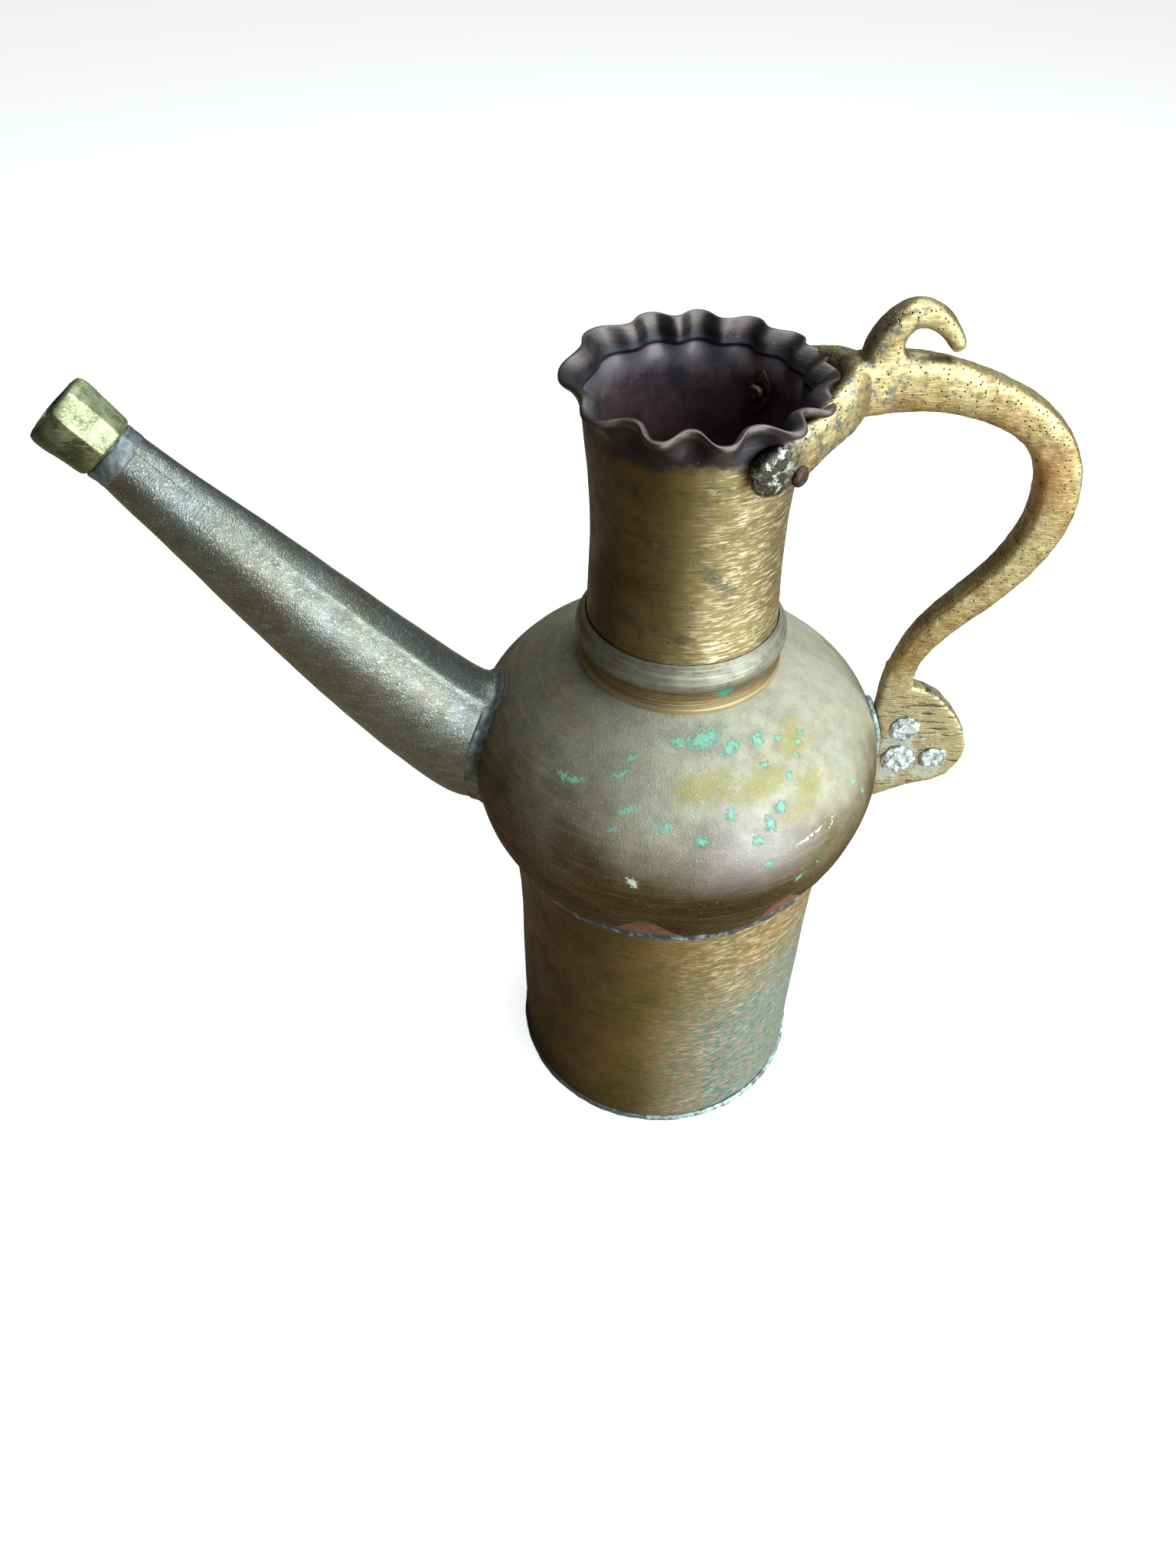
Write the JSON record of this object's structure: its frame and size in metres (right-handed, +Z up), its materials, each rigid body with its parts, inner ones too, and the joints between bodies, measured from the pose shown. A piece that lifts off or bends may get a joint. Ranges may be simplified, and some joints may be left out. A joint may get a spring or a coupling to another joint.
{
  "type": "oil can",
  "caption": "Open long-spouted copper and brass ewer: straight lower body, round bulb, fluted neck rim, faceted spout tip and a scrolled cast brass handle.",
  "frame": {"origin": "centre of the underside of the base plate", "axes": "+Z up; the spout leans out along -X and the handle stands along +X, both in the plane y = 0"},
  "size_m": [0.3046, 0.1428, 0.3225],
  "materials": {
    "sheet_brass": "aged, brushed, with patches of patina",
    "dusty_brass": "dull grey-green patina with verdigris spots",
    "dark_copper": "dark brown-grey oxide, satin",
    "cast_brass": "worn casting with pinholes and file marks",
    "tip_brass": "filed, greenish yellow",
    "red_copper": "dull red-brown",
    "solder": "grey, crusted",
    "lug_crust": "white corrosion crust"
  },
  "bodies": {
    "root": {"base_plate": "sheet_brass", "foot_solder": "solder", "lower_body": "sheet_brass", "seam_solder": "red_copper", "upper_body": "dusty_brass", "neck": "sheet_brass", "neck_collar": "dusty_brass", "spout": "dark_copper", "spout_collar": "solder", "spout_tip": "tip_brass", "tip_solder": "solder", "handle": "cast_brass", "lug_solder": "solder", "yoke_rivet_front": "red_copper", "yoke_rivet_back": "red_copper", "rivet_washer_front": "red_copper", "rivet_washer_back": "red_copper", "lug_rivet_1": "lug_crust", "lug_rivet_2": "lug_crust", "lug_rivet_3": "lug_crust"}
  },
  "joints": []
}
